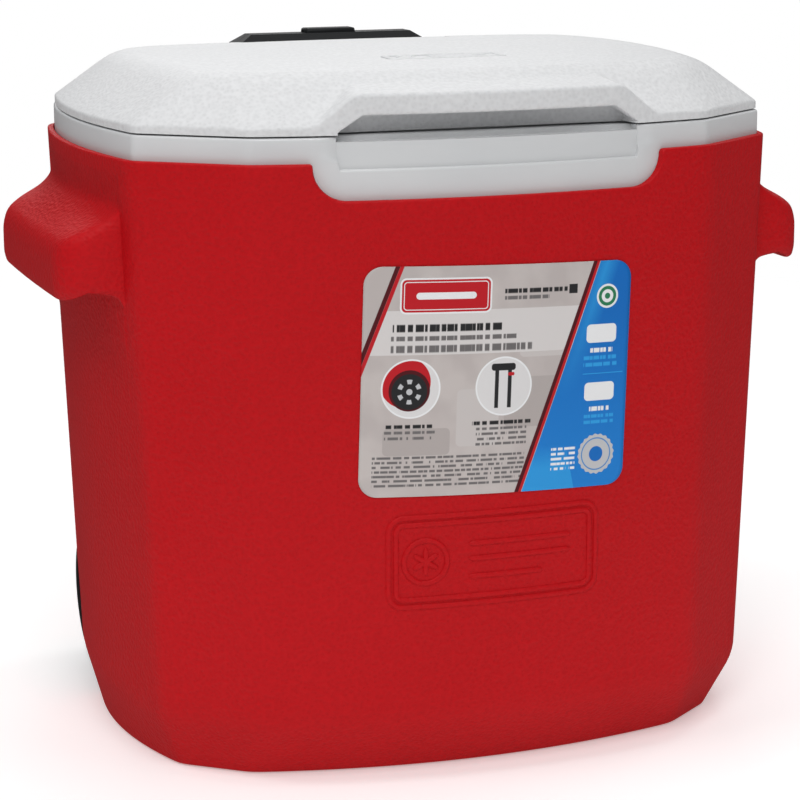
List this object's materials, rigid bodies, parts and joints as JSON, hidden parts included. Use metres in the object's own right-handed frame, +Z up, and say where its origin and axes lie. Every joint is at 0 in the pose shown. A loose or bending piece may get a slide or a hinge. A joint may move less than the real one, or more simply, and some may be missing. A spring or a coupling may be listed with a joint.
{
  "type": "wheeled cooler chest",
  "caption": "Insulated cooler chest with hinged lid, moulded ear handles, telescoping pull handle and recessed rear wheels.",
  "frame": {"origin": "centre of the footprint on the ground", "axes": "+X to the right seen from the front, +Y towards the back, +Z up; the front label faces -Y"},
  "size_m": [0.482, 0.3506, 0.426],
  "materials": {
    "shell_red": "pebble-grained moulded polyethylene",
    "liner_white": "smooth satin moulded plastic",
    "lid_white": "pebble-grained moulded plastic",
    "insulation_foam": "rigid foam",
    "hinge_grey": "satin moulded plastic",
    "bracket_black": "satin moulded plastic",
    "grip_black": "fine-textured moulded plastic",
    "tube_black": "satin black painted steel",
    "wheel_black": "moulded hard plastic",
    "steel": "zinc-plated steel",
    "label_film": "printed semi-gloss film"
  },
  "bodies": {
    "root": {"outer_shell": "shell_red", "inner_liner": "liner_white", "body_insulation": "insulation_foam", "front_label": "label_film", "hinge_body_leaf_left": "hinge_grey", "hinge_pin_left": "steel", "hinge_body_screw_left_1": "steel", "hinge_body_screw_left_2": "steel", "hinge_body_leaf_right": "hinge_grey", "hinge_pin_right": "steel", "hinge_body_screw_right_1": "steel", "hinge_body_screw_right_2": "steel", "axle_left": "steel", "axle_washer_left": "steel", "axle_cap_left": "bracket_black", "outer_tube_left": "tube_black", "top_bracket_screw_left": "steel", "foot_bracket_screw_left": "steel", "axle_right": "steel", "axle_washer_right": "steel", "axle_cap_right": "bracket_black", "outer_tube_right": "tube_black", "top_bracket_screw_right": "steel", "foot_bracket_screw_right": "steel", "handle_top_bracket": "bracket_black", "handle_foot_bracket": "bracket_black"},
    "lid": {"lid_outer": "lid_white", "lid_pan": "lid_white", "lid_insulation": "insulation_foam", "hinge_lid_leaf_left": "hinge_grey", "hinge_lid_screw_left_1": "steel", "hinge_lid_screw_left_2": "steel", "hinge_lid_leaf_right": "hinge_grey", "hinge_lid_screw_right_1": "steel", "hinge_lid_screw_right_2": "steel"},
    "handle_middle": {"middle_tube_bridge": "bracket_black", "middle_tube_left": "tube_black", "middle_tube_glide_left": "bracket_black", "middle_tube_right": "tube_black", "middle_tube_glide_right": "bracket_black"},
    "handle_upper": {"grip_front_half": "grip_black", "grip_rear_half": "grip_black", "button_spring": "steel", "inner_tube_left": "tube_black", "inner_tube_glide_left": "bracket_black", "grip_screw_left": "steel", "inner_tube_right": "tube_black", "inner_tube_glide_right": "bracket_black", "grip_screw_right": "steel"},
    "button": {"release_button": "grip_black", "lock_yoke": "bracket_black", "lock_rod_left": "steel", "lock_rod_right": "steel"},
    "wheel_left": {"wheel_left": "wheel_black"},
    "wheel_right": {"wheel_right": "wheel_black"}
  },
  "joints": [
    {"name": "lid_hinge", "type": "hinge", "parent": "root", "child": "lid", "pos_m": [0, 0.16909, 0.3865], "axis": [-1, 0, 0], "range_deg": [0, 100]},
    {"name": "handle_middle_slide", "type": "slide", "parent": "root", "child": "handle_middle", "axis": [0, 0, 1], "range_m": [0, 0.26]},
    {"name": "handle_upper_slide", "type": "slide", "parent": "handle_middle", "child": "handle_upper", "axis": [0, 0, 1], "range_m": [0, 0.265]},
    {"name": "button_press", "type": "slide", "parent": "handle_upper", "child": "button", "axis": [0, 0, -1], "range_m": [0, 0.004], "stiffness_N_per_m": 800, "springref_m": -0.006, "deforming": ["button_spring"]},
    {"name": "wheel_left_spin", "type": "hinge", "parent": "root", "child": "wheel_left", "pos_m": [-0.1652, 0.12529, 0.051], "axis": [1, 0, 0], "continuous": true},
    {"name": "wheel_right_spin", "type": "hinge", "parent": "root", "child": "wheel_right", "pos_m": [0.1652, 0.12529, 0.051], "axis": [1, 0, 0], "continuous": true}
  ]
}
